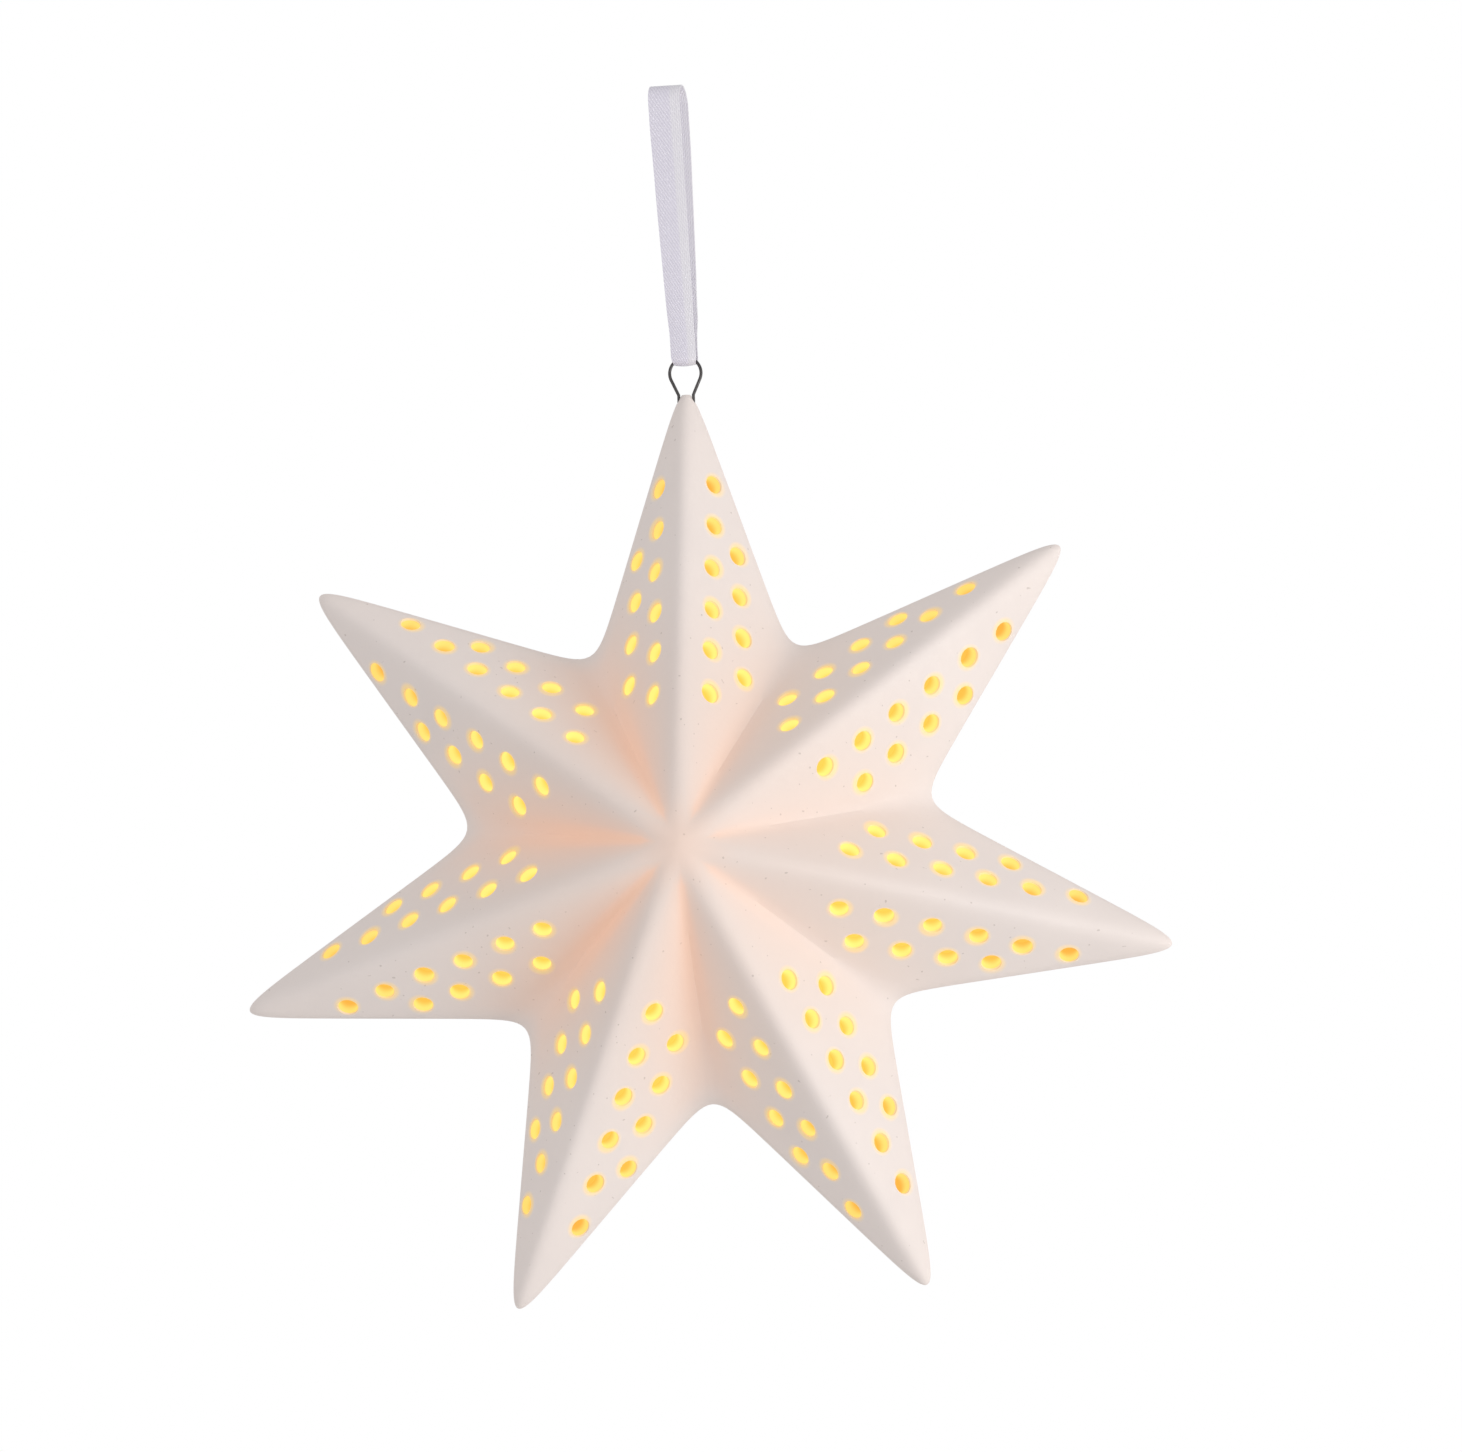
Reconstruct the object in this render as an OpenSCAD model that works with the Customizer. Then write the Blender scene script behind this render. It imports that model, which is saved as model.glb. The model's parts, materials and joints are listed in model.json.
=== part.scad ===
// Hanging star lantern. A hollow seven-pointed porcelain star is lit by a small battery
// light that plugs into its back, and hangs by a wire eye on a loop of satin ribbon.
//
// Millimetres, +Z up. The origin is where a hook bears on the inside of the ribbon loop.
// The star faces -Y and the light plugs in from +Y.

/* [Star] */
// Distance from the star's centre to the blunt tips
tip_reach = 90; // [84:1:92]
// Distance from the centre to where the sides of an arm would meet in a point
tip_sharp = 96.5; // [95:0.5:100]
// Distance from the centre to the notches between the arms
notch_reach = 43.6; // [41:0.2:46]
// Height of the relief's point in front of the rim; the back has the same facets
relief_height = 36; // [35:0.5:38]
// Distance from the rim to the flat that cuts off the back relief
back_depth = 17.5; // [17:0.25:17.75]
// Thickness of the porcelain
wall = 3; // [2.5:0.25:3.5]

/* [Punched holes] */
// Diameter of each light hole
hole_d = 3.3; // [2.5:0.1:3.8]
// Distance of the first hole of the ridge row from the centre
ridge_row_start = 30; // [28:0.5:32]
// Holes in the row beside each ridge
ridge_row_count = 6; // [4:1:6]
// Distance of the first hole of the rim row from the centre
rim_row_start = 33; // [31:0.5:35]
// Holes in the row beside each rim
rim_row_count = 4; // [2:1:4]
// Spacing of the holes along a row
hole_pitch = 8.3; // [7.5:0.1:8.5]

/* [Light opening] */
// Radius of the round hole in the flat back
opening_r = 20.5; // [20.25:0.25:20.75]

/* [Wire eye] */
// Diameter of the wire
wire_d = 0.6; // [0.5:0.1:0.8]
// Radius of the eye, to the middle of the wire
eye_r = 3; // [2.8:0.1:3.4]
// Height of the eye's centre above the trimmed top tip
eye_rise = 4.2; // [4:0.1:5]
// Half the distance between the legs where they enter the tip
leg_half_gap = 1.4; // [1.2:0.1:1.6]
// Depth that the legs are set into the porcelain
leg_depth = 5; // [3:0.5:5]

/* [Battery light] */
// Radius of the light's cup
cup_r = 18.75; // [18:0.25:19]
// Depth of the cup from its base to its rim
cup_depth = 20; // [19:0.5:21]
// Height of the flame's tip above the base
flame_tip = 38; // [34:1:40]
// Widest radius of the flame
flame_r = 5.2; // [4.5:0.1:5.5]
// Distance that the base stands out behind the flat back
base_proud = 2.5; // [1.5:0.5:4]

/* [Battery and switch] */
// Radius of the coin cell
cell_r = 10; // [9:0.5:10]
// Thickness of the coin cell
cell_thick = 3.2; // [2.5:0.1:3.2]
// Angle that the battery cover turns to come free
cover_turn = 40; // [35:1:45]
// Travel of the switch
switch_travel = 2.5; // [2:0.25:2.75]

/* [Hidden] */

$fn = 64;
eps = 0.01;
gap = 0.3;                   // clearance between parts that move on each other

// Star
arms = 7;
arm_step = 360 / arms;
notch_turn = arm_step / 2;
notch_x = notch_reach * cos(notch_turn);
notch_y = notch_reach * sin(notch_turn);
arm_half_angle = atan(notch_y / (tip_sharp - notch_x));
rim_distance = tip_sharp * sin(arm_half_angle);     // centre to the line of a rim, in plan
rim_facing = 90 - arm_half_angle;                   // way a rim faces, from its arm's axis
slope = atan(relief_height / rim_distance);         // the facets, from the rim plane
facet_distance = relief_height * cos(slope);        // centre to the plane of a facet
hollow = 1 - wall / facet_distance;                 // inner star as a share of the outer
ridge_row_offset = 5.5;                             // ridge row, sideways from the ridge
rim_row_offset = 10.8;                              // first hole of the rim row, sideways
rim_row_taper = 0.37;                               // each next one is this much closer
top_tip = tip_reach - 0.4;                          // the top tip is trimmed flat

// Wire eye
wire_r = wire_d / 2;
eye_y = top_tip + eye_rise;
leg_reach = norm([leg_half_gap, eye_rise]);
tangent_angle = acos(eye_r / leg_reach) - atan(eye_rise / leg_half_gap);

// Ribbon
ribbon_drop = 52.2;          // hook to the top of the wire eye
ribbon_thick = 0.3;
ribbon_edge = 0.35;          // bevel of the woven edge
ribbon_crown = 0.03;         // how much thinner the ribbon is towards its edges
// Middle of the ribbon and its width, from the lap behind the star, under the wire, up in
// front, over the hook and down to the lap again
ribbon_route = [
    [0.2, 1.8, -37, 5.4],
    [0.2, 1.65, -41, 5.2],
    [0.2, 1.55, -45, 5],
    [0.1, 1.45, -48, 4.6],
    [0, 1.4, -50.5, 4],
    [0, 1.35, -52.2, 3.4],
    [0, 1.15, -52.9, 3.2],
    [0, 0.7, -53.35, 3.2],
    [0, 0, -53.55, 3.2],
    [0, -0.7, -53.35, 3.2],
    [0, -1.15, -52.9, 3.2],
    [0, -1.35, -52.2, 3.4],
    [0, -1.4, -50.5, 4],
    [0, -1.45, -48, 4.6],
    [-0.1, -1.6, -44, 4.9],
    [-0.15, -1.8, -38, 5.2],
    [-0.2, -2, -32, 5.4],
    [-0.3, -2.25, -24, 5.6],
    [-0.35, -2.5, -16, 5.8],
    [-0.4, -2.7, -9, 6],
    [-0.4, -2.85, -5, 6],
    [-0.4, -2.9, -2.75, 6],
    [-0.3, -2.5, -1.25, 6],
    [-0.15, -1.45, -0.25, 6],
    [0, 0, 0.15, 6],
    [0.15, 1.45, -0.25, 6],
    [0.3, 2.5, -1.25, 6],
    [0.4, 2.9, -2.75, 6],
    [0.4, 2.85, -5, 6],
    [0.4, 2.7, -12, 6],
    [0.35, 2.5, -20, 5.8],
    [0.3, 2.35, -28, 5.6],
    [0.25, 2.25, -35, 5.4],
    [0.2, 2.15, -40, 5.2],
    [0.2, 2.05, -45, 5],
];
stitch_rows = [[1.95, -38.5], [1.83, -43.5]];        // y and z of the lap's two rows
stitch_length = 0.7;
stitch_depth = 0.95;
thread_d = 0.16;

// Heights inside the battery light are measured from the face of its base
star_drop = ribbon_drop + eye_y + eye_r;            // hook to the star's centre
base_depth = back_depth + base_proud;            // rim plane to the light's base
cup_wall = 1.2;
bay_r = cup_r - cup_wall;                           // inside of the cup
cup_roof = 16.5;                                    // underside of the wax-like top
wax_pool = 18;                                      // bottom of the dished top
wax_rim_r = 17;
plate_thick = 1.6;
tray_bottom = 3;
tray_top = 7.4;
board_bottom = 9.2;
board_thick = 1;
board_top = board_bottom + board_thick;
board_r = 12;
post_top = 7.6;                                     // foot of the cup's screw posts
post_r = 2.4;
screw_x = 13.5;
screw_y = 8;
screw_r = 0.9;
cell_y = -4.5;                                      // the cell sits below the middle
cell_bottom = 3.1;
cell_top = cell_bottom + cell_thick;
cover_r = cell_r + 1.2;
lug_r = cover_r + 1.8;
lug_angle = 24;
lug_bottom = plate_thick + gap;
lug_thick = 0.8;
led_r = 2.5;
led_bottom = 12.7;
lead_half_gap = 1.27;
switch_y = 12;
switch_rest = switch_travel / 2;
switch_size = [8.6, 4.4, 3.6];
switch_bottom = 1.8;
switch_top = switch_bottom + switch_size[2];
slider_size = [4.2, 2.6, 1.2];
slider_bottom = 2.7;
stem_size = [2, 1.8];
stem_bottom = 0.3;
slot_size = [stem_size[0] + switch_travel + 2 * gap, stem_size[1] + 2 * gap];

// ---- Shared shapes ----

// From the star's own frame (x right, y up, z to the front) to the lantern's
module in_star() translate([0, 0, -star_drop]) rotate([90, 0, 0]) children();

// As in_star, with z measured forwards from the face of the light's base
module in_light() in_star() translate([0, 0, -base_depth]) children();

// A box centred on x and y that stands on z = 0
module block(size) translate([-size[0] / 2, -size[1] / 2, 0]) cube(size);

// A round rod from one point to another
module rod(from, to, r) {
    along = to - from;
    translate(from)
        rotate([0, acos(along[2] / norm(along)), atan2(along[1], along[0])])
            cylinder(h = norm(along), r = r);
}

// A ring between two radii
module ring(outer, inner, h) difference() {
    cylinder(h = h, r = outer);
    translate([0, 0, -eps]) cylinder(h = h + 2 * eps, r = inner);
}

// A pie-shaped block round the z axis, centred on x
module sector(r, angle, h) rotate([0, 0, -angle / 2])
    rotate_extrude(angle = angle) square([r, h]);

// A closed skin over rings of points that follow each other, flat at both ends
module skin(rings) {
    sides = len(rings[0]);
    last = len(rings) - 1;
    walls = [for (i = [0 : last - 1], k = [0 : sides - 1])
        let (a = i * sides + k, b = i * sides + (k + 1) % sides) [a, b, b + sides, a + sides]];
    start = [for (k = [sides - 1 : -1 : 0]) k];
    end = [for (k = [0 : sides - 1]) last * sides + k];
    polyhedron(points = [for (ring = rings) each ring], faces = concat([start], walls, [end]));
}

// The places of the two screws
module at_screws() for (side = [-1, 1]) translate([side * screw_x, screw_y, 0]) children();

// ---- Porcelain star ----

// A faceted star: tips and notches on the rim plane, one point in front and one behind, all
// at a share of the full size
module facet_star(share) {
    rim = [for (i = [0 : 2 * arms - 1])
        let (a = 90 + i * notch_turn, r = share * (i % 2 == 0 ? tip_sharp : notch_reach))
            [r * cos(a), r * sin(a), 0]];
    front = 2 * arms;
    back = front + 1;
    polyhedron(
        points = concat(rim, [[0, 0, share * relief_height], [0, 0, -share * relief_height]]),
        faces = [for (i = [0 : 2 * arms - 1]) each
            let (j = (i + 1) % (2 * arms)) [[j, i, front], [i, j, back]]]);
}

// One hole, punched square to a front facet, at a distance along the arm and a sideways
// offset from its ridge
module punch(along, offset) {
    outward = along * cos(rim_facing) + offset * sin(rim_facing);
    height = relief_height * (1 - outward / rim_distance);
    translate([along, offset, height])
        rotate([0, slope, rim_facing])
            cylinder(h = 3 * wall, d = hole_d, center = true, $fn = 24);
}

module facet_holes() {
    for (i = [0 : ridge_row_count - 1])
        punch(ridge_row_start + i * hole_pitch, ridge_row_offset);
    for (i = [0 : rim_row_count - 1])
        punch(rim_row_start + i * hole_pitch, rim_row_offset - i * rim_row_taper);
}

module leg_holes() for (side = [-1, 1])
    rod([side * leg_half_gap, top_tip + 1, 0], [side * leg_half_gap, top_tip - leg_depth, 0],
        wire_r);

module star_shell() color("whitesmoke") in_star() difference() {
    intersection() {
        facet_star(1);
        translate([0, 0, -back_depth])
            cylinder(h = back_depth + relief_height, r = tip_reach, $fn = 128);
    }
    // hollow inside, to one wall short of the flat back
    intersection() {
        facet_star(hollow);
        translate([0, 0, wall - back_depth])
            cylinder(h = back_depth + relief_height, r = tip_reach);
    }
    translate([0, 0, -back_depth - eps]) cylinder(h = back_depth, r = opening_r);
    // the top tip is trimmed flat for the wire
    translate([-tip_reach / 2, top_tip, -tip_reach / 2]) cube(tip_reach);
    leg_holes();
    for (arm = [0 : arms - 1], side = [0, 1])
        rotate([0, 0, 90 + arm * arm_step]) mirror([0, side, 0]) facet_holes();
}

// A pear-shaped eye: a leg up out of the tip, an arc over the top and a leg down again
module hanger_wire() color("dimgray") in_star() {
    sides = 12;
    arc_step = (180 - 2 * tangent_angle) / 19;
    path = concat(
        [[leg_half_gap, top_tip - leg_depth], [leg_half_gap, top_tip]],
        [for (i = [0 : 19]) let (a = tangent_angle + i * arc_step)
            [eye_r * cos(a), eye_y + eye_r * sin(a)]],
        [[-leg_half_gap, top_tip], [-leg_half_gap, top_tip - leg_depth]]);
    last = len(path) - 1;
    skin([for (i = [0 : last])
        let (along = path[min(i + 1, last)] - path[max(i - 1, 0)],
             across = [along[1], -along[0], 0] / norm(along))
            [for (k = [0 : sides - 1]) let (a = k * 360 / sides)
                [path[i][0], path[i][1], 0]
                    + wire_r * (cos(a) * across + [0, 0, sin(a)])]]);
}

// Soft ring that lines the opening, with a lip over the flat back
module grip_ring() color("gainsboro") in_star() {
    lip_thick = 0.8;
    lip = 1.5;
    sleeve = 6;
    translate([0, 0, -back_depth - lip_thick]) ring(opening_r + lip, cup_r + gap, lip_thick);
    translate([0, 0, -back_depth]) ring(opening_r, cup_r + gap, sleeve);
}

// ---- Ribbon ----

function route_point(i) = [for (k = [0 : 2]) ribbon_route[i][k]];
function route_heading(i) =
    let (last = len(ribbon_route) - 1,
         step = route_point(min(i + 1, last)) - route_point(max(i - 1, 0)))
    step / norm(step);
// the ribbon's face is square to its heading and to its width, which lies along x
function route_face(i) = let (n = cross(route_heading(i), [1, 0, 0])) n / norm(n);
function ribbon_section(w) =
    let (x = w / 2, t = ribbon_thick / 2, e = ribbon_edge, s = t - ribbon_crown)
    [[-x, 0], [-x + e, s], [0, t], [x - e, s], [x, 0], [x - e, -s], [0, -t], [-x + e, -s]];

module ribbon_loop() color("lavender")
    skin([for (i = [0 : len(ribbon_route) - 1])
        [for (p = ribbon_section(ribbon_route[i][3]))
            route_point(i) + [p[0], 0, 0] + p[1] * route_face(i)]]);

// Thread that closes the lap: two rows of three stitches through both layers
module ribbon_stitches() color("ghostwhite")
    for (row = stitch_rows, column = [-1 : 1])
        translate([0.2 + 1.5 * column, row[0], row[1]]) {
            for (face = [-1, 1])
                translate([-stitch_length / 2, face * stitch_depth / 2 - thread_d / 2, 0])
                    cube([stitch_length, thread_d, thread_d]);
            for (end = [-1, 1])
                translate([end * (stitch_length - thread_d) / 2 - thread_d / 2,
                           -stitch_depth / 2, 0])
                    cube([thread_d, stitch_depth, thread_d]);
        }

// ---- Battery light: housing ----

module light_cup() color("white") in_light() {
    difference() {
        cylinder(h = cup_depth, r = cup_r);
        translate([0, 0, -eps]) cylinder(h = cup_roof + eps, r = bay_r);
        translate([0, 0, wax_pool])
            cylinder(h = cup_depth - wax_pool + eps, r1 = wax_rim_r - 5, r2 = wax_rim_r);
        cylinder(h = cup_depth, r = flame_r + 0.2);
    }
    // posts that the base is screwed to
    difference() {
        intersection() {
            at_screws() translate([0, 0, post_top])
                cylinder(h = cup_roof - post_top + eps, r = post_r);
            cylinder(h = cup_depth, r = cup_r - eps);
        }
        at_screws() cylinder(h = 13, r = screw_r);
    }
}

// Candle-flame diffuser: a foot under the cup's top, and a teardrop with a socket for the LED
module flame_lens() color("lightyellow") in_light() {
    foot_bottom = 15.3;
    shoulder = 20;
    steps = 16;
    socket_r = led_r + 0.6;
    flame = [for (i = [0 : steps]) let (t = i / steps)
        [flame_r * pow(1 - t, 0.6) * (1 + 0.12 * t), shoulder + (flame_tip - shoulder) * t]];
    difference() {
        union() {
            translate([0, 0, foot_bottom]) cylinder(h = cup_roof - foot_bottom, r = flame_r + 1.8);
            rotate_extrude()
                polygon(concat([[0, foot_bottom + 0.5], [flame_r, foot_bottom + 0.5]], flame));
        }
        translate([0, 0, foot_bottom - eps]) cylinder(h = shoulder - foot_bottom + eps, r = socket_r);
        translate([0, 0, shoulder]) sphere(r = socket_r);
    }
}

module base_plate() color("white") in_light() difference() {
    intersection() {
        union() {
            cylinder(h = plate_thick, r = bay_r - 0.05);
            at_screws() cylinder(h = tray_bottom, r = post_r);
        }
        cylinder(h = tray_bottom, r = bay_r - 0.05);
    }
    // round hole for the battery cover, with a way in for each of its lugs
    translate([0, cell_y, -eps]) {
        cylinder(h = tray_bottom + 1, r = cover_r + gap);
        for (side = [0, 180]) rotate([0, 0, side - cover_turn])
            sector(lug_r + gap, lug_angle + 6, tray_bottom + 1);
    }
    translate([0, switch_y, -eps]) block([slot_size[0], slot_size[1], tray_bottom]);
    at_screws() translate([0, 0, -eps]) {
        cylinder(h = tray_bottom + 1, r = screw_r + 0.2);
        cylinder(h = 1.1, r = 2);
    }
}

module base_screws() color("silver") in_light() at_screws() {
    head_bottom = 0.2;
    difference() {
        translate([0, 0, head_bottom]) cylinder(h = 0.85, r = 1.8);
        for (turn = [0, 90]) rotate([0, 0, turn])
            translate([0, 0, head_bottom - eps]) block([2, 0.4, 0.5]);
    }
    translate([0, 0, head_bottom + 0.4]) cylinder(h = 11, r = screw_r - 0.05);
}

// ---- Battery light: power ----

// Turns under the base plate by two lugs; a coin fits its slot
module battery_cover() color("white") in_light() translate([0, cell_y, 0]) {
    difference() {
        union() {
            cylinder(h = lug_bottom + lug_thick, r = cover_r);
            cylinder(h = cell_bottom - 0.1, r = cell_r - 2);
        }
        translate([0, 0, -eps]) block([12, 1.8, 0.9]);
    }
    for (side = [0, 180]) rotate([0, 0, side])
        translate([0, 0, lug_bottom]) difference() {
            sector(lug_r, lug_angle, lug_thick);
            translate([0, 0, -eps]) cylinder(h = lug_thick + 2 * eps, r = cover_r - 1);
        }
}

// Holds the cell, its contacts and the circuit board behind the base plate
module battery_tray() color("whitesmoke") in_light() {
    floor_bottom = cell_top + 0.3;
    difference() {
        translate([0, 0, tray_bottom])
            cylinder(h = tray_top - tray_bottom, r = bay_r - 0.25);
        translate([0, cell_y, tray_bottom - eps])
            cylinder(h = floor_bottom - tray_bottom + eps, r = cell_r + gap);
        // pocket beside the cell for the positive contact
        translate([cell_r, cell_y, tray_bottom - eps])
            block([1.6, 4.6, tray_top - tray_bottom + 2 * eps]);
        // slot in the floor for the negative contact
        translate([-8.1, cell_y, tray_bottom]) block([0.8, 3.6, tray_top]);
        translate([0, switch_y, tray_bottom - eps])
            block([switch_size[0] + 0.6, switch_size[1] + 0.6, tray_top]);
        at_screws() cylinder(h = tray_top + 1, r = screw_r + 0.2);
    }
    // rests for the circuit board
    for (side = [-1, 1]) translate([side * 6, -8, tray_top - eps])
        cylinder(h = board_bottom - tray_top + eps, r = 1.2);
}

// Coin cell: a wide positive can with a narrower negative cap on the tray's side
module coin_cell() color("silver") in_light() translate([0, cell_y, cell_bottom]) {
    can = cell_thick - 0.4;
    edge = 0.3;
    rotate_extrude() polygon([
        [0, 0], [cell_r - edge, 0], [cell_r, edge], [cell_r, can - edge], [cell_r - edge, can],
        [cell_r - 1.6, can], [cell_r - 1.8, cell_thick], [0, cell_thick],
    ]);
}

// Strip that bears on the side of the cell and rises to the board
module contact_positive() color("goldenrod") in_light()
    translate([cell_r + 0.13, cell_y, cell_bottom + 0.4])
        block([0.25, 3.6, board_bottom - cell_bottom - 0.4]);

// Leaf that bears on the cell's cap, with an end that rises to the board
module contact_negative() color("goldenrod") in_light() translate([0, cell_y, cell_top]) {
    translate([-8.2, -1.5, 0]) cube([10, 3, 0.25]);
    translate([-8.2, -1.5, 0]) cube([0.25, 3, board_bottom - cell_top]);
}

// ---- Battery light: circuit ----

module circuit_board() color("seagreen") in_light() difference() {
    translate([0, 0, board_bottom]) cylinder(h = board_thick, r = board_r);
    for (side = [-1, 1]) translate([side * lead_half_gap, 0, board_bottom - eps])
        cylinder(h = board_thick + 2 * eps, r = 0.4, $fn = 24);
}

module control_chip() color("black") in_light()
    translate([6, -3, board_top]) block([4.9, 3.9, 1.4]);

module resistor() color("peru") in_light() translate([-6, -3, board_top + 0.9]) {
    rotate([90, 0, 0]) cylinder(h = 3.4, r = 0.85, center = true);
    for (end = [-1, 1]) {
        rod([0, end * 1.6, 0], [0, end * 2.6, 0], 0.25);
        translate([0, end * 2.6, 0]) sphere(r = 0.25);
        rod([0, end * 2.6, 0], [0, end * 2.6, -0.9], 0.25);
    }
}

module led() color("cornsilk") in_light() translate([0, 0, led_bottom]) {
    body = 6.3;
    cylinder(h = 1, r = led_r + 0.4);
    cylinder(h = body, r = led_r);
    translate([0, 0, body]) sphere(r = led_r);
}

module led_leads() color("silver") in_light() for (side = [-1, 1])
    translate([side * lead_half_gap, 0, board_bottom - 0.4])
        block([0.5, 0.5, led_bottom - board_bottom + 0.4]);

// ---- Battery light: switch ----

module switch_body() color("dimgray") in_light() translate([0, switch_y, switch_bottom])
    difference() {
        block(switch_size);
        translate([0, 0, 0.6]) block([
            slider_size[0] + switch_travel + 2 * gap, slider_size[1] + 2 * gap,
            switch_size[2] - 1.4,
        ]);
        translate([0, 0, -eps]) block([slot_size[0], slot_size[1], 1]);
    }

module switch_terminals() color("silver") in_light()
    for (x = [-2.5, 0, 2.5]) translate([x, switch_y - 1.2, switch_top])
        block([0.6, 0.4, board_bottom - switch_top]);

module switch_knob() color("black") in_light() translate([switch_rest, switch_y, 0]) {
    translate([0, 0, slider_bottom]) block(slider_size);
    translate([0, 0, stem_bottom]) difference() {
        block([stem_size[0], stem_size[1], slider_bottom - stem_bottom + eps]);
        for (x = [-0.5, 0, 0.5]) translate([x, 0, -eps]) block([0.2, stem_size[1] + 1, 0.25]);
    }
}

// Sprung clip on the back of the slider that bridges two terminals
module switch_wiper() color("goldenrod") in_light()
    translate([switch_rest, switch_y, slider_bottom + slider_size[2]]) block([3.4, 1.8, 0.25]);

ribbon_loop();
ribbon_stitches();
star_shell();
hanger_wire();
grip_ring();
light_cup();
flame_lens();
led();
led_leads();
circuit_board();
control_chip();
resistor();
battery_tray();
coin_cell();
contact_positive();
contact_negative();
base_plate();
base_screws();
switch_body();
switch_terminals();
switch_knob();
switch_wiper();
battery_cover();
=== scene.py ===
# %% [markdown]
# # Seven-pointed star lantern
# A hollow star of unglazed porcelain hangs on a satin ribbon. A battery tealight plugs into its
# flat back and shines out through holes that were pierced by hand in the front facets. The
# script starts by bringing in the CAD parts, because every piece made here has to sit on them.

import json
import math
import random

import bmesh
import bpy
import numpy as np
from mathutils import Matrix, Vector

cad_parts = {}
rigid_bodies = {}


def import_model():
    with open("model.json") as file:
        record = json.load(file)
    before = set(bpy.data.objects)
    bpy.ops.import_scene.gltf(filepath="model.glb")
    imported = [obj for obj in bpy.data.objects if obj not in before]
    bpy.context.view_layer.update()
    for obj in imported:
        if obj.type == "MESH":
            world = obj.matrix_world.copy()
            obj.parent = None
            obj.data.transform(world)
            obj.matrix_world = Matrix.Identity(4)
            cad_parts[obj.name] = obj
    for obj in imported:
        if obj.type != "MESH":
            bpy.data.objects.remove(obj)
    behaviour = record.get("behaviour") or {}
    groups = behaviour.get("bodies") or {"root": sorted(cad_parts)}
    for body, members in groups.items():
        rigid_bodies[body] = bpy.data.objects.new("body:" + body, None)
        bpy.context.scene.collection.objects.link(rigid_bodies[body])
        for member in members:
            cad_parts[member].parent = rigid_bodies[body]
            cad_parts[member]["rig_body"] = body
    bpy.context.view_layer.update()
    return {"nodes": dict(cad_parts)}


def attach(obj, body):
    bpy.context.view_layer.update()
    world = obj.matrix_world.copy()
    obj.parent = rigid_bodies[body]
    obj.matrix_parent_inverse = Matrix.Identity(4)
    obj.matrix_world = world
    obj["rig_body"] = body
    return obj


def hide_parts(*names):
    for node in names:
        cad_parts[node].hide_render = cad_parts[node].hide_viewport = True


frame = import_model()
scene = bpy.context.scene
cad_part = frame["nodes"]
print("CAD parts:", len(cad_part))

# %% [markdown]
# ## Two frames to work in
# Star and light were both drawn flat, in millimetres: right, up, and towards the viewer. One
# matrix each stands them up at their place, so a piece can be made with the numbers a maker
# would use and moved into place once, at the end, with its object left at the origin.

# %% Frames of the star and of the light
MM = 0.001
STAR_DROP = 149
STAND_UP = Matrix.Rotation(math.radians(90), 4, "X") @ Matrix.Scale(MM, 4)
STAR = Matrix.Translation((0, 0, -STAR_DROP * MM)) @ STAND_UP
LIGHT = Matrix.Translation((0, 0.020, -STAR_DROP * MM)) @ STAND_UP
print("star centre:", tuple(round(v, 3) for v in STAR.translation))

# %% [markdown]
# ## Camera
# A long lens from a little below keeps the arms' lengths true and shows the undersides of the
# facets. The star hangs slightly turned, so the camera is rolled and swung round the centre.

# %% Camera
camera_turn = (
    Matrix.Rotation(math.radians(90), 4, "X")
    @ Matrix.Rotation(math.radians(7.48), 4, "Y")
    @ Matrix.Rotation(math.radians(8.06), 4, "X")
    @ Matrix.Rotation(math.radians(-1.91), 4, "Z")
)
camera = bpy.data.objects.new("camera", bpy.data.cameras.new("camera"))
scene.collection.objects.link(camera)
camera.data.lens = 218.8
camera.data.sensor_width = 36
camera.matrix_world = (
    Matrix.Translation(STAR.translation)
    @ camera_turn
    @ Matrix.Translation((0.00555, 0.02604, 1.669))
)
scene.camera = camera
print("camera at", tuple(round(v, 3) for v in camera.matrix_world.translation))

# %% [markdown]
# ## Tools for the finishes
# A finish is a Principled shader with small variations worked out from the place on the piece.
# `Flow` lets that arithmetic be written as ordinary sums, each adding one Math node, and
# `Finish.add` makes any other node from its type, its settings and its inputs.

# %% Shader arithmetic
class Flow:
    """A number or vector inside a finish. Arithmetic on it adds the node that works it out."""

    def __init__(self, finish, socket):
        self.finish = finish
        self.socket = socket

    def calc(self, operation, *values):
        return self.finish.add("ShaderNodeMath", {"operation": operation}, dict(enumerate(values)))

    def __add__(self, other):
        return self.calc("ADD", self, other)

    def __radd__(self, other):
        return self.calc("ADD", other, self)

    def __sub__(self, other):
        return self.calc("SUBTRACT", self, other)

    def __rsub__(self, other):
        return self.calc("SUBTRACT", other, self)

    def __mul__(self, other):
        return self.calc("MULTIPLY", self, other)

    def __rmul__(self, other):
        return self.calc("MULTIPLY", other, self)

    def __truediv__(self, other):
        return self.calc("DIVIDE", self, other)

    def __rtruediv__(self, other):
        return self.calc("DIVIDE", other, self)

    def __pow__(self, other):
        return self.calc("POWER", self, other)

    def __rpow__(self, other):
        return self.calc("POWER", other, self)

    def ramp(self, start, end, low=0, high=1):
        """Eases from low at start to high at end, and stays there on either side."""
        inputs = {0: self, 1: start, 2: end, 3: low, 4: high}
        return self.finish.add("ShaderNodeMapRange", {"interpolation_type": "SMOOTHSTEP"}, inputs)


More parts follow.
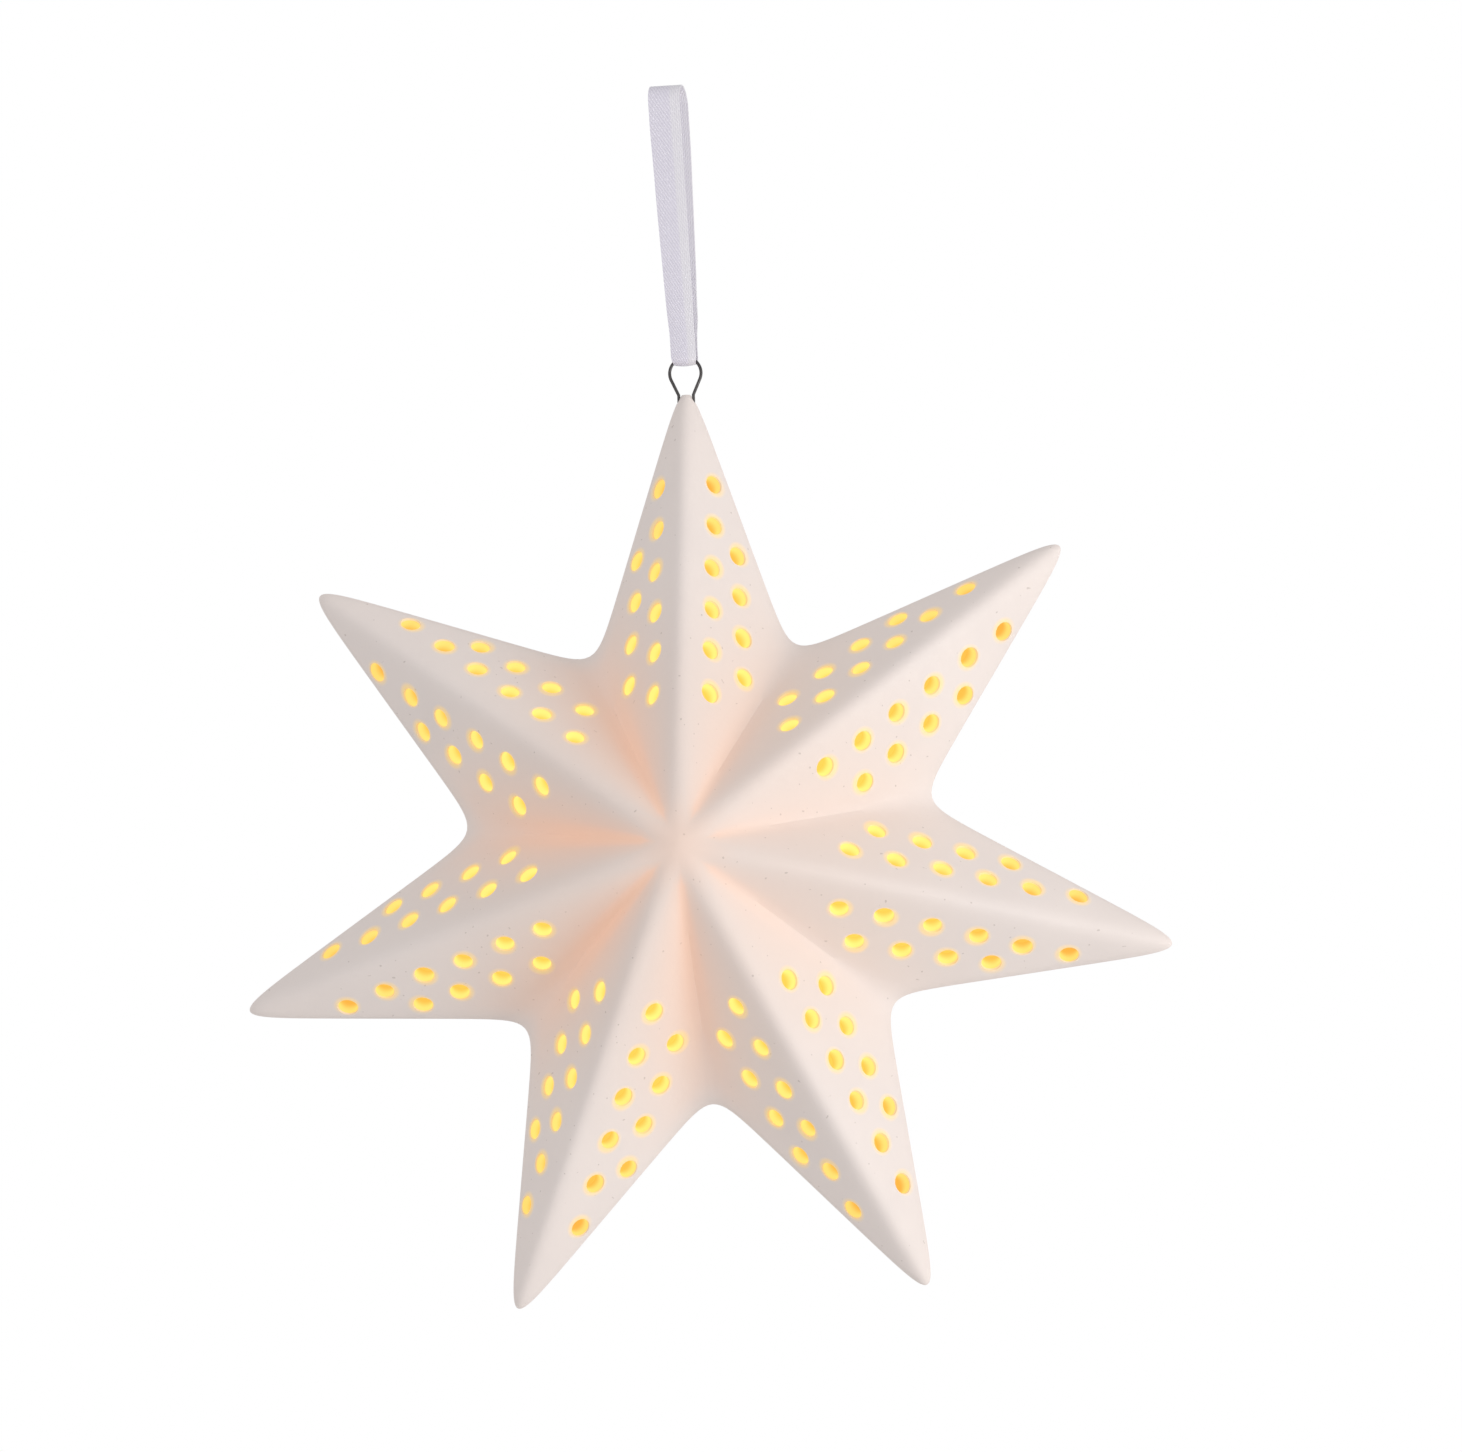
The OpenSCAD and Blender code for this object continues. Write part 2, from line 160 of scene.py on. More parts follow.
class Finish:
    """A material: constants go on the shader at once, and varying values through `use`."""

    def __init__(self, name, colour, roughness, **constants):
        self.material = bpy.data.materials.new(name)
        self.material.use_nodes = True
        self.nodes = self.material.node_tree.nodes
        self.links = self.material.node_tree.links
        self.shader = self.nodes["Principled BSDF"]
        self.put(self.shader, {"Base Color": (*colour, 1), "Roughness": roughness})
        self.put(self.shader, {k.replace("_", " "): v for k, v in constants.items()})

    def put(self, node, inputs):
        for key, value in inputs.items():
            if isinstance(value, Flow):
                self.links.new(value.socket, node.inputs[key])
            else:
                node.inputs[key].default_value = value

    def use(self, **inputs):
        self.put(self.shader, {k.replace("_", " "): v for k, v in inputs.items()})

    def add(self, kind, settings, inputs, output=0):
        node = self.nodes.new(kind)
        for key, value in settings.items():
            setattr(node, key, value)
        self.put(node, inputs)
        return Flow(self, node.outputs[output])

    def place(self):
        """Right, depth and height on the piece, in metres, as three flows and as one vector."""
        place = self.add("ShaderNodeTexCoord", {}, {}, "Object")
        axes = [self.add("ShaderNodeSeparateXYZ", {}, {0: place}, i) for i in range(3)]
        return place, *axes

    def noise(self, vector, scale, detail):
        return self.add("ShaderNodeTexNoise", {}, {"Vector": vector, "Scale": scale, "Detail": detail})

    def mix(self, share, first, second):
        """Between two colours, each a flow or a plain (r, g, b)."""
        first, second = [c if isinstance(c, Flow) else (*c, 1) for c in (first, second)]
        inputs = {0: share, 6: first, 7: second}
        return self.add("ShaderNodeMix", {"data_type": "RGBA"}, inputs, 2)

    def bump(self, height, depth, strength):
        inputs = {"Height": height, "Distance": depth, "Strength": strength}
        return self.add("ShaderNodeBump", {}, inputs)


print("shader tools ready")

# %% [markdown]
# ## Tools for the pieces
# `turned` spins a profile round the light's axis, as a lathe or a round mould would shape it.
# `softened` takes a copy of a CAD part, merges its triangles and rounds its sharp edges, since
# a moulded part never has a perfect corner. `smooth_max` joins two surfaces with a rounded
# edge, and `piece` hands a finished mesh to its CAD body.

# %% Piece tools
def piece(name, bm, finishes, body, replaces, crease=35):
    """Makes a finished mesh an object. Edges sharper than `crease` degrees stay crisp."""
    mesh = bpy.data.meshes.new(name)
    bm.to_mesh(mesh)
    bm.free()
    for finish in finishes:
        mesh.materials.append(finish.material)
    mesh.shade_smooth()
    mesh.set_sharp_from_angle(angle=math.radians(crease))
    made = bpy.data.objects.new(name, mesh)
    scene.collection.objects.link(made)
    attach(made, body)
    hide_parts(*replaces)
    print(name, "faces:", len(mesh.polygons))
    return made


def turned(profile, steps=96):
    """Spins (radius, height) points round the height axis and merges the seam."""
    bm = bmesh.new()
    points = [bm.verts.new((radius, 0, height)) for radius, height in profile]
    edges = [bm.edges.new(pair) for pair in zip(points, points[1:])]
    bmesh.ops.spin(
        bm, geom=points + edges, cent=(0, 0, 0), axis=(0, 0, 1), angle=2 * math.pi, steps=steps
    )
    bmesh.ops.remove_doubles(bm, verts=bm.verts, dist=1e-4)
    bmesh.ops.recalc_face_normals(bm, faces=bm.faces)
    return bm


def softened(node, name, width, finish, segments=3, sharp=40):
    """A copy of a CAD part, its edges over `sharp` degrees rounded `width` mm wide."""
    bm = bmesh.new()
    bm.from_mesh(cad_part[node].data)
    bmesh.ops.remove_doubles(bm, verts=bm.verts, dist=1e-6)
    bmesh.ops.dissolve_limit(bm, angle_limit=0.02, verts=bm.verts, edges=bm.edges)
    corners = [e for e in bm.edges if e.is_manifold and e.calc_face_angle() > math.radians(sharp)]
    bmesh.ops.bevel(
        bm, geom=corners, offset=width * MM, segments=segments, affect="EDGES",
        profile=0.5, material=-1, clamp_overlap=True,
    )
    return piece(name, bm, [finish], cad_part[node]["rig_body"], [node])


def smooth_max(values, radius):
    """The largest of the values, eased over where two are close, as a rounded edge is."""
    values = np.asarray(values) / radius
    top = values.max(0)
    return radius * (top + np.log(np.exp(values - top).sum(0)))


print("piece tools ready")

# %% [markdown]
# ## Satin finish
# Satin floats long warp threads over the surface, so it shines along its length and shows a
# fine slanting weave. It's white with a lavender cast, and the selvedge side is paler and
# finely ribbed. The ribbon carries its own UVs in millimetres across and along.

# %% Ribbon finishes
satin = Finish("ribbon satin", (0.74, 0.70, 0.80), 0.42, Sheen_Weight=0.35, Sheen_Roughness=0.3)
cloth = satin.add("ShaderNodeUVMap", {"uv_map": "cloth"}, {})
across = satin.add("ShaderNodeSeparateXYZ", {}, {0: cloth}, 0)
along = satin.add("ShaderNodeSeparateXYZ", {}, {0: cloth}, 1)
ribbed = across.ramp(0.7, 1.5)
thread_noise = satin.noise(cloth, 2.4, 4)
slant = (along + across * 1.6) * 6.5 + thread_noise * 5
twill = slant.calc("SINE", slant) * 0.5 + 0.5
rib = across.calc("SINE", across * 16) * 0.5 + 0.5
weave = twill * (1 - ribbed * 0.5) + rib * ribbed * 0.5
tint = satin.mix(ribbed, (0.82, 0.79, 0.88), (0.87, 0.85, 0.89))
tint = satin.mix((1 - weave) * thread_noise * 0.6, tint, (0.46, 0.42, 0.56))
tint = satin.mix(thread_noise.ramp(0.5, 0.72) * 0.5, tint, (0.93, 0.91, 0.96))
satin.use(Base_Color=tint, Roughness=thread_noise.ramp(0.2, 0.8, 0.36, 0.5))
satin.use(Normal=satin.bump(weave, 0.00008, 0.6))
thread = Finish("sewing thread", (0.84, 0.83, 0.86), 0.6)
print("ribbon finishes made")

# %% [markdown]
# ## Ribbon
# The ribbon is one closed loop: it starts at a sewn lap behind the star, passes under the wire
# eye, runs up in front, over the hook and down to the lap again. It's woven flat, so it's made
# as a grid laid along that line. Where the eye gathers it, it narrows and cups a little.

# %% Ribbon measures
RIBBON_WIDTH = 6
RIBBON_THICK = 0.3
NARROWEST = 4.7
LOOP_DROP = 53.5
ASLANT = 1.7  # the top fold sits this far left of the eye
# across, forward and back, height and width at each point, in millimetres
RIBBON_LINE = np.array([
    [0.2, 1.8, -37, 5.4], [0.2, 1.65, -41, 5.2], [0.2, 1.55, -45, 5], [0.1, 1.45, -48, 4.6],
    [0, 1.4, -50.5, 4], [0, 1.35, -52.2, 3.4], [0, 1.15, -52.9, 3.2], [0, 0.7, -53.35, 3.2],
    [0, 0, -53.55, 3.2], [0, -0.7, -53.35, 3.2], [0, -1.15, -52.9, 3.2], [0, -1.35, -52.2, 3.4],
    [0, -1.4, -50.5, 4], [0, -1.45, -48, 4.6], [-0.1, -1.6, -44, 4.9], [-0.15, -1.8, -38, 5.2],
    [-0.2, -2, -32, 5.4], [-0.3, -2.25, -24, 5.6], [-0.35, -2.5, -16, 5.8], [-0.4, -2.7, -9, 6],
    [-0.4, -2.85, -5, 6], [-0.4, -2.9, -2.75, 6], [-0.3, -2.5, -1.25, 6], [-0.15, -1.45, -0.25, 6],
    [0, 0, 0.15, 6], [0.15, 1.45, -0.25, 6], [0.3, 2.5, -1.25, 6], [0.4, 2.9, -2.75, 6],
    [0.4, 2.85, -5, 6], [0.4, 2.7, -12, 6], [0.35, 2.5, -20, 5.8], [0.3, 2.35, -28, 5.6],
    [0.25, 2.25, -35, 5.4], [0.2, 2.15, -40, 5.2], [0.2, 2.05, -45, 5],
])
RIBBON_LINE[:, 0] -= ASLANT * (RIBBON_LINE[:, 2] + LOOP_DROP) / LOOP_DROP
print("points along the ribbon:", len(RIBBON_LINE))

# %% Ribbon line
def eased_line(points, count):
    """Equally spaced points on a smooth curve through the given ones."""
    ends = np.vstack([2 * points[0] - points[1], points, 2 * points[-1] - points[-2]])
    curve = []
    for a, b, c, d in zip(ends, ends[1:], ends[2:], ends[3:]):
        for t in np.linspace(0, 1, 12, endpoint=False):
            curve.append(0.5 * (
                2 * b + (c - a) * t + (2 * a - 5 * b + 4 * c - d) * t**2
                + (3 * b - a - 3 * c + d) * t**3
            ))
    curve = np.array(curve + [points[-1]])
    travelled = np.r_[0, np.cumsum(np.linalg.norm(np.diff(curve[:, :3], axis=0), axis=1))]
    wanted = np.linspace(0, travelled[-1], count)
    return np.array([np.interp(wanted, travelled, column) for column in curve.T]).T, travelled[-1]


ROWS = 400
COLUMNS = 16
line, ribbon_length = eased_line(RIBBON_LINE, ROWS + 1)
heading = np.gradient(line[:, :3], axis=0)
heading /= np.linalg.norm(heading, axis=1)[:, None]
facing = np.stack([0 * heading[:, 0], heading[:, 2], -heading[:, 1]], 1)
facing /= np.linalg.norm(facing, axis=1)[:, None]
print("ribbon length in mm:", round(ribbon_length, 1))

# %% Ribbon cloth
bm = bmesh.new()
bmesh.ops.create_grid(bm, x_segments=COLUMNS, y_segments=ROWS, size=1)
cloth_layer = bm.loops.layers.uv.new("cloth")
for face in bm.faces:
    for corner in face.loops:
        side = corner.vert.co.x * RIBBON_WIDTH / 2
        corner[cloth_layer].uv = (side, (corner.vert.co.y + 1) / 2 * ribbon_length)
for vert in bm.verts:
    row = round((vert.co.y + 1) / 2 * ROWS)
    side = vert.co.x
    x, y, z, width = line[row]
    gather = 1 - width / RIBBON_WIDTH
    cupped = 0.5 * gather * side**2
    width = max(width, np.interp(z, (-LOOP_DROP, 1 - LOOP_DROP), (4.1, NARROWEST)))
    middle = Vector((x + side * width / 2, y, z))
    vert.co = (middle + Vector(facing[row]) * cupped) * MM
bmesh.ops.recalc_face_normals(bm, faces=bm.faces)
bmesh.ops.solidify(bm, geom=bm.faces[:], thickness=RIBBON_THICK * MM)
print("ribbon cloth, faces:", len(bm.faces))

# %% Ribbon and stitches
ribbon = piece("satin_ribbon", bm, [satin], "hanger", ["ribbon_loop"], 60)
stitches = softened("ribbon_stitches", "sewn_stitches", 0.08, thread)
print("ribbon sewn into a loop")

# %% [markdown]
# ## Porcelain finish
# Bisque is fired without glaze: it's matt, faintly grainy and a little translucent. Light from
# inside reddens as it crosses the wall, so the valleys near the middle glow peach and every
# hole wears a soft halo; that glow and those halos are painted into the colour and the
# emission. The attribute `mould_place` holds each spot's place in the even mould, before the
# arms leaned. Its angle tells where it lies in its arm, so the painted halos follow the same
# rows as the holes.

# %% Star measures
ARMS = 7
TIP = 96.5
NOTCH = 43.6
RELIEF = 36
BACK_DEPTH = 17.5
WALL = 3
TOP_TRIM = 89.6
HOLE_R = 1.68
PITCH = 8.3
RIDGE_ROW = (30, 5.5, 6, 0)  # first hole along the arm, sideways, how many, taper
RIM_ROW = (33, 10.8, 4, 0.37)
notch_x = NOTCH * math.cos(math.pi / ARMS)
notch_y = NOTCH * math.sin(math.pi / ARMS)
arm_half_angle = math.atan2(notch_y, TIP - notch_x)
rim_distance = TIP * math.sin(arm_half_angle)
rim_facing = math.pi / 2 - arm_half_angle
slope = math.atan2(RELIEF, rim_distance)
print("facet slope in degrees:", round(math.degrees(slope), 1))

# %% Places on the star
def arm_place(finish):
    """Where a spot was in the even mould, in mm: right, up, forward, radius, along, off arm."""
    spot = finish.add("ShaderNodeAttribute", {"attribute_name": "mould_place"}, {}, 1)
    right, up, forward = [
        finish.add("ShaderNodeSeparateXYZ", {}, {0: spot}, i) for i in range(3)
    ]
    radius = (right * right + up * up) ** 0.5
    turn = (up.calc("ARCTAN2", up, right) - math.pi / 2) * (ARMS / (2 * math.pi)) + ARMS
    share = turn - turn.calc("ROUND", turn)
    angle = share.calc("ABSOLUTE", share) * (2 * math.pi / ARMS)
    along_arm = radius * angle.calc("COSINE", angle)
    off_arm = radius * angle.calc("SINE", angle)
    return spot, right, up, forward, radius, along_arm, off_arm


def hole_distance(along_arm, off_arm, first, sideways, count, taper):
    """Distance on the facet to the nearest hole of a row, in mm."""
    steps = (along_arm - first) / PITCH
    nearest = steps.calc("ROUND", steps)
    nearest = nearest.calc("MINIMUM", nearest.calc("MAXIMUM", nearest, 0), count - 1)
    ahead = along_arm - first - nearest * PITCH
    beside = off_arm - sideways + nearest * taper
    outward = (ahead * math.cos(rim_facing) + beside * math.sin(rim_facing)) / math.cos(slope)
    level = beside * math.cos(rim_facing) - ahead * math.sin(rim_facing)
    return (outward * outward + level * level) ** 0.5


print("tools for places on the star ready")

# %% Bisque
bisque = Finish("bisque porcelain", (0.85, 0.73, 0.68), 0.62, Emission_Strength=1.0)
spot, right, up, forward, radius, along_arm, off_arm = arm_place(bisque)
front = forward.ramp(0, 4)
# painted glow: where lamplight through the wall is painted, strongest in the valleys near the middle
off_ridge = off_arm / along_arm.calc("MAXIMUM", along_arm, 7)
valley = off_ridge.ramp(0.02, 0.44)
crease_line = off_ridge.ramp(0.3, 0.47)
# the painted glow is kept weak towards the right, where the key lamp falls
leftward = right.ramp(26, -12, 0.12, 1)
glow = (radius.ramp(66, 20) * valley * 0.6 + radius.ramp(46, 14) * crease_line * 0.5) * leftward
glow = glow.calc("MAXIMUM", glow, radius.ramp(13, 1, 0, 0.35)) * front
to_hole = hole_distance(along_arm, off_arm, *RIDGE_ROW)
to_hole = to_hole.calc("MINIMUM", to_hole, hole_distance(along_arm, off_arm, *RIM_ROW))
# painted halo of lamplight round each hole
halo = to_hole.ramp(2.9, 1.7) * front
clay = bisque.noise(spot, 0.9, 4)
cloudy = bisque.noise(spot, 0.055, 3)
specks = bisque.noise(spot, 1.3, 0).ramp(0.825, 0.85)
pale = bisque.mix(cloudy.ramp(0.3, 0.75), (0.87, 0.78, 0.74), (0.84, 0.755, 0.72))
body = bisque.mix(radius.ramp(18, 62), (0.86, 0.735, 0.675), pale)
body = bisque.mix(specks * 0.32, body, (0.30, 0.22, 0.18))
# the painted glow and painted halos go into the base colour here, and into the emission as `lit`
body = bisque.mix(glow * 0.7, body, (0.88, 0.64, 0.49))
body = bisque.mix(halo * 0.85, body, (0.95, 0.74, 0.40))
lit = bisque.mix(glow, (0, 0, 0), (0.16, 0.04, 0.005))
lit = bisque.mix(halo, lit, (0.17, 0.085, 0.0))
bisque.use(Base_Color=body, Emission_Color=lit, Roughness=clay.ramp(0.3, 0.7, 0.56, 0.7))
bisque.use(Normal=bisque.bump(clay + cloudy * 0.6, 0.00008, 0.35))
print("bisque made")

# %% Lamplight inside and on the walls of the holes
# painted lamplight: the inside and the hole walls glow through their emission, over dark base colours;
# each pair is a colour near the middle of the star and one far out
LIP = ((0.94, 0.77, 0.20), (0.82, 0.57, 0.14))
DEEP = ((0.88, 0.56, 0.09), (0.66, 0.33, 0.05))
NEAR = 28
FAR = 86
lit_inside = Finish("lit inside of the star", (0.34, 0.27, 0.17), 0.8, Emission_Strength=1.0)
_, _, _, forward, radius, _, _ = arm_place(lit_inside)
lamplight = lit_inside.mix(radius.ramp(NEAR, FAR), *DEEP)
# the painted lamplight on the lining dims towards the front
lamplight = lit_inside.mix(forward.ramp(-2, 12, 0, 0.8), lamplight, (0.20, 0.085, 0.015))
lit_inside.use(Emission_Color=lamplight)

hole_wall = Finish("hole wall", (0.28, 0.19, 0.06), 0.7, Emission_Strength=1.0)
_, _, _, forward, radius, along_arm, off_arm = arm_place(hole_wall)
outward = along_arm * math.cos(rim_facing) + off_arm * math.sin(rim_facing)
depth = (1 - outward / rim_distance - forward / RELIEF) * (RELIEF * math.cos(slope))
warmth = radius.ramp(NEAR, FAR)
lip = hole_wall.mix(warmth, *LIP)
deep = hole_wall.mix(warmth, *DEEP)
# painted lamplight on the hole walls: yellower at the lip, deeper amber further in
hole_wall.use(Emission_Color=hole_wall.mix(depth.ramp(0.9, 2.9), lip, deep))
print("porcelain finishes made")

# %% [markdown]
# ## Porcelain star
# Slip is cast in a two-part mould of a faceted star, then the leather-hard clay is sponged,
# which rounds its ridges and valleys. A cone with fourteen sides makes the cage: every other
# rim point is drawn in to a notch, and a mirror adds the back. Each point of the divided cage
# is then slid in or out along its line from the middle until it meets the rounded form.

# %% Rounded form of the star
# how far the sponge rounds each kind of edge, in mm
RIDGE_SOFT = 1.6
RIM_SOFT = 0.65
BACK_SOFT = 0.35
CROWN_SOFT = 3.2
VALLEY_SOFT = ((0, 9), (1.9, 0.45))  # heights off the rim plane, and the rounding there
CROWN = 33.2


def form(points):
    """How far outside the rounded star each point is, in mm; below zero is inside."""
    right, up, forward = points.T
    radius = np.hypot(right, up)
    turn = (np.arctan2(up, right) - math.pi / 2) * ARMS / (2 * math.pi)
    share = (turn - np.round(turn)) * 2 * math.pi / ARMS
    scale = 1 / math.hypot(1 / rim_distance, 1 / RELIEF)
    arms = []
    for neighbour in (-1, 0, 1):
        angle = share - neighbour * 2 * math.pi / ARMS
        ahead, beside = radius * np.cos(angle), radius * np.sin(angle)
        sides = []
        for face in (1, -1):
            outward = ahead * math.cos(rim_facing) + face * beside * math.sin(rim_facing)
            sides.append([
                (outward / rim_distance + way * forward / RELIEF - 1) * scale for way in (1, -1)
            ])
        ridges = [smooth_max([sides[0][way], sides[1][way]], RIDGE_SOFT) for way in (0, 1)]
        arms.append(-smooth_max(ridges, RIM_SOFT))
    valley_soft = np.interp(np.abs(forward), *VALLEY_SOFT)
    star = -smooth_max(arms, valley_soft)
    star = smooth_max([star, forward - CROWN], CROWN_SOFT)
    return smooth_max([star, -forward - BACK_DEPTH], BACK_SOFT)


def on_form(directions, depth):
    """Points at that depth under the rounded form, along the lines from the middle."""
    near, far = np.zeros(len(directions)), np.full(len(directions), 120.0)
    for _ in range(36):
        middle = (near + far) / 2
        outside = form(directions * middle[:, None]) + depth > 0
        far = np.where(outside, middle, far)
        near = np.where(outside, near, middle)
    return directions * near[:, None]


print("rounded form reaches, in mm:", round(on_form(np.array([[0.0, 0, 1]]), 0)[0][2], 1))

# %% Skin and lining of the star
def star_skin(cuts, depth):
    """The star at that depth under its surface, each edge of the cage cut that many times."""
    bm = bmesh.new()
    bmesh.ops.create_cone(
        bm, cap_ends=False, segments=2 * ARMS, radius1=TIP, radius2=0, depth=RELIEF
    )
    bmesh.ops.remove_doubles(bm, verts=bm.verts, dist=0.01)
    bmesh.ops.translate(bm, vec=(0, 0, RELIEF / 2), verts=bm.verts)
    rim = [v for v in bm.verts if v.co.z < 1]
    for step, vert in enumerate(sorted(rim, key=lambda v: math.atan2(v.co.y, v.co.x))):
        angle = math.pi / 2 + step * math.pi / ARMS
        reach = NOTCH if step % 2 else TIP
        vert.co = (reach * math.cos(angle), reach * math.sin(angle), 0)
    bmesh.ops.mirror(bm, geom=bm.verts[:] + bm.edges[:] + bm.faces[:], axis="Z", merge_dist=0.01)
    bmesh.ops.subdivide_edges(bm, edges=bm.edges[:], cuts=cuts, use_grid_fill=True)
    directions = np.array([v.co.normalized() for v in bm.verts])
    for vert, place in zip(bm.verts, on_form(directions, depth)):
        vert.co = place
    bmesh.ops.remove_doubles(bm, verts=bm.verts, dist=0.001)
    bmesh.ops.recalc_face_normals(bm, faces=bm.faces)
    return bm


skin = star_skin(46, 0)
lining = star_skin(22, WALL)
bmesh.ops.reverse_faces(lining, faces=lining.faces)
for face in lining.faces:
    face.material_index = 1
lining_mesh = bpy.data.meshes.new("lining")
lining.to_mesh(lining_mesh)
lining.free()
skin.from_mesh(lining_mesh)
print("star before piercing, faces:", len(skin.faces))

# %% [markdown]
# ## Piercing
# The holes are punched square to each facet with a hand tool, so no two sit or tilt quite
# alike, and the sponge rounds their lips. One small spool shape is repeated for them all: its
# waist cuts the hole and its flare rounds the lip. Every tool goes into one cutter mesh.

# %% Cutting tools
# how unevenly a hand sets the holes: shifts in mm, tilt in radians, and share of the size
SHIFT_ALONG = 0.35
SHIFT_ACROSS = 0.3
TILT = 0.05
SIZE_SHARE = 0.05
LIP_DEPTH = 0.45  # the cut is bisque above this depth, and a lit wall below it
rng = random.Random(11)
cutter = bmesh.new()


def add_cut(shape, place, material_of):
    """Adds a tool to the cutter. Each of its faces leaves the finish that material_of gives."""
    bmesh.ops.transform(shape, matrix=place, verts=shape.verts)
    bmesh.ops.recalc_face_normals(shape, faces=shape.faces)
    mesh = bpy.data.meshes.new("cut")
    shape.to_mesh(mesh)
    shape.free()
    start = len(cutter.faces)
    cutter.from_mesh(mesh)
    bpy.data.meshes.remove(mesh)
    cutter.faces.ensure_lookup_table()
    for face in cutter.faces[start:]:
        face.material_index = material_of(face)


def punch():
    """The spool that makes one hole: (radius, height over the facet) in mm."""
    return turned([
        (0, 4), (2.8, 4), (2.0, 0.2), (1.8, -0.3), (HOLE_R, -0.8), (HOLE_R, -4.4), (0, -4.4)
    ], 16)


print("cutting tools ready")

# %% Punch the holes
for arm in range(ARMS):
    for side in (1, -1):
        for first, sideways, count, taper in (RIDGE_ROW, RIM_ROW):
            for step in range(count):
                ahead = first + step * PITCH + rng.uniform(-SHIFT_ALONG, SHIFT_ALONG)
                beside = sideways - step * taper + rng.uniform(-SHIFT_ACROSS, SHIFT_ACROSS)
                outward = ahead * math.cos(rim_facing) + beside * math.sin(rim_facing)
                height = RELIEF * (1 - outward / rim_distance)
                place = (
                    Matrix.Rotation(math.pi / 2 + arm * 2 * math.pi / ARMS, 4, "Z")
                    @ Matrix.Diagonal((1, side, 1, 1))
                    @ Matrix.Translation((ahead, beside, height))
                    @ Matrix.Rotation(rim_facing, 4, "Z")
                    @ Matrix.Rotation(slope + rng.uniform(-TILT, TILT), 4, "Y")
                    @ Matrix.Rotation(rng.uniform(-TILT, TILT), 4, "X")
                    @ Matrix.Scale(rng.uniform(1 - SIZE_SHARE, 1 + SIZE_SHARE), 4)
                )
                middle = place.translation
                tool = place.to_3x3() @ Vector((0, 0, 1))
                tool.normalize()
                add_cut(
                    punch(), place,
                    lambda f: 0 if (f.calc_center_median() - middle).dot(tool) > -LIP_DEPTH else 2,
                )
print("faces on the hole tools:", len(cutter.faces))

# %% [markdown]
# ## Opening, top tip and leg holes
# The back has a round opening with a rounded lip, for the light. The top tip is trimmed flat,
# and two small holes in the flat take the legs of the wire. They join the same cutter.

# %% Opening, top tip and leg holes
LEG = 1.4
LEG_HOLE_R = 0.36
LEG_DEEP = 5
TRIM_BLOCK = 20
opening = turned([
    (0, -24), (24, -24), (22.3, -17.9), (21.2, -17.3), (20.65, -16.6), (20.5, -15.6),
    (20.5, -8), (0, -8),
], 128)
add_cut(opening, Matrix.Identity(4), lambda f: 0)
trim = bmesh.new()
bmesh.ops.create_cube(trim, size=TRIM_BLOCK)
add_cut(trim, Matrix.Translation((0, TOP_TRIM + TRIM_BLOCK / 2, 0)), lambda f: 0)
for side in (-1, 1):
    leg_hole = bmesh.new()
    bmesh.ops.create_cone(
        leg_hole, cap_ends=True, segments=12, radius1=LEG_HOLE_R, radius2=LEG_HOLE_R,
        depth=LEG_DEEP,
    )
    place = Matrix.Translation((side * LEG, TOP_TRIM - 2.6, 0))
    add_cut(leg_hole, place @ Matrix.Rotation(math.pi / 2, 4, "X"), lambda f: 0)
print("faces on all the tools:", len(cutter.faces))

# %% [markdown]
# ## Cutting, and the lean of the arms
# One exact Boolean cuts everything, and each cut face takes the finish of the tool that made
# it. Handling the soft clay leaves the arms leaning a degree or two, so the pierced star is
# then turned round a little, arm by arm. The even place is kept first, for the finishes.

# %% Cut the star
cutter_mesh = bpy.data.meshes.new("cutter")
cutter.to_mesh(cutter_mesh)
cutter.free()
skin_mesh = bpy.data.meshes.new("skin")
skin.to_mesh(skin_mesh)
skin.free()
for mesh in (cutter_mesh, skin_mesh):
    for finish in (bisque, lit_inside, hole_wall):
        mesh.materials.append(finish.material)
cutter_object = bpy.data.objects.new("cutter", cutter_mesh)
skin_object = bpy.data.objects.new("skin", skin_mesh)
scene.collection.objects.link(cutter_object)
scene.collection.objects.link(skin_object)
pierce = skin_object.modifiers.new("pierce", "BOOLEAN")
pierce.operation = "DIFFERENCE"
pierce.solver = "EXACT"
pierce.material_mode = "TRANSFER"
pierce.object = cutter_object
pierced = bpy.data.meshes.new_from_object(
    skin_object.evaluated_get(bpy.context.evaluated_depsgraph_get())
)
bpy.data.objects.remove(skin_object)
bpy.data.objects.remove(cutter_object)
print("star after piercing, faces:", len(pierced.polygons))

# %% Lean the arms
# how far each arm leans round from even spacing, in degrees, from the top arm leftwards
ARM_LEAN = (0, 1, 2.3, 1.2, 0.5, 0.5, 0.6, 0)
bm = bmesh.new()
bm.from_mesh(pierced)
bmesh.ops.dissolve_degenerate(bm, edges=bm.edges, dist=0.0005)
mould_layer = bm.verts.layers.float_vector.new("mould_place")
arm_angles = np.radians(90 + np.arange(ARMS + 1) * 360 / ARMS)
for vert in bm.verts:
    vert[mould_layer] = vert.co
    angle = (math.atan2(vert.co.y, vert.co.x) - math.pi / 2) % (2 * math.pi) + math.pi / 2
    lean = math.radians(np.interp(angle, arm_angles, ARM_LEAN))
    vert.co = Matrix.Rotation(lean, 3, "Z") @ vert.co
bmesh.ops.transform(bm, matrix=STAR, verts=bm.verts)
piece(
    "porcelain_star", bm, [bisque, lit_inside, hole_wall], "star",
    ["star_shell"], 32,
)

# %% [markdown]
# ## Wire eye
# A short length of annealed wire is bent into a pear-shaped eye, and its two legs are set in
# the trimmed tip before firing. A curve with a round section is the plainest way to draw wire.

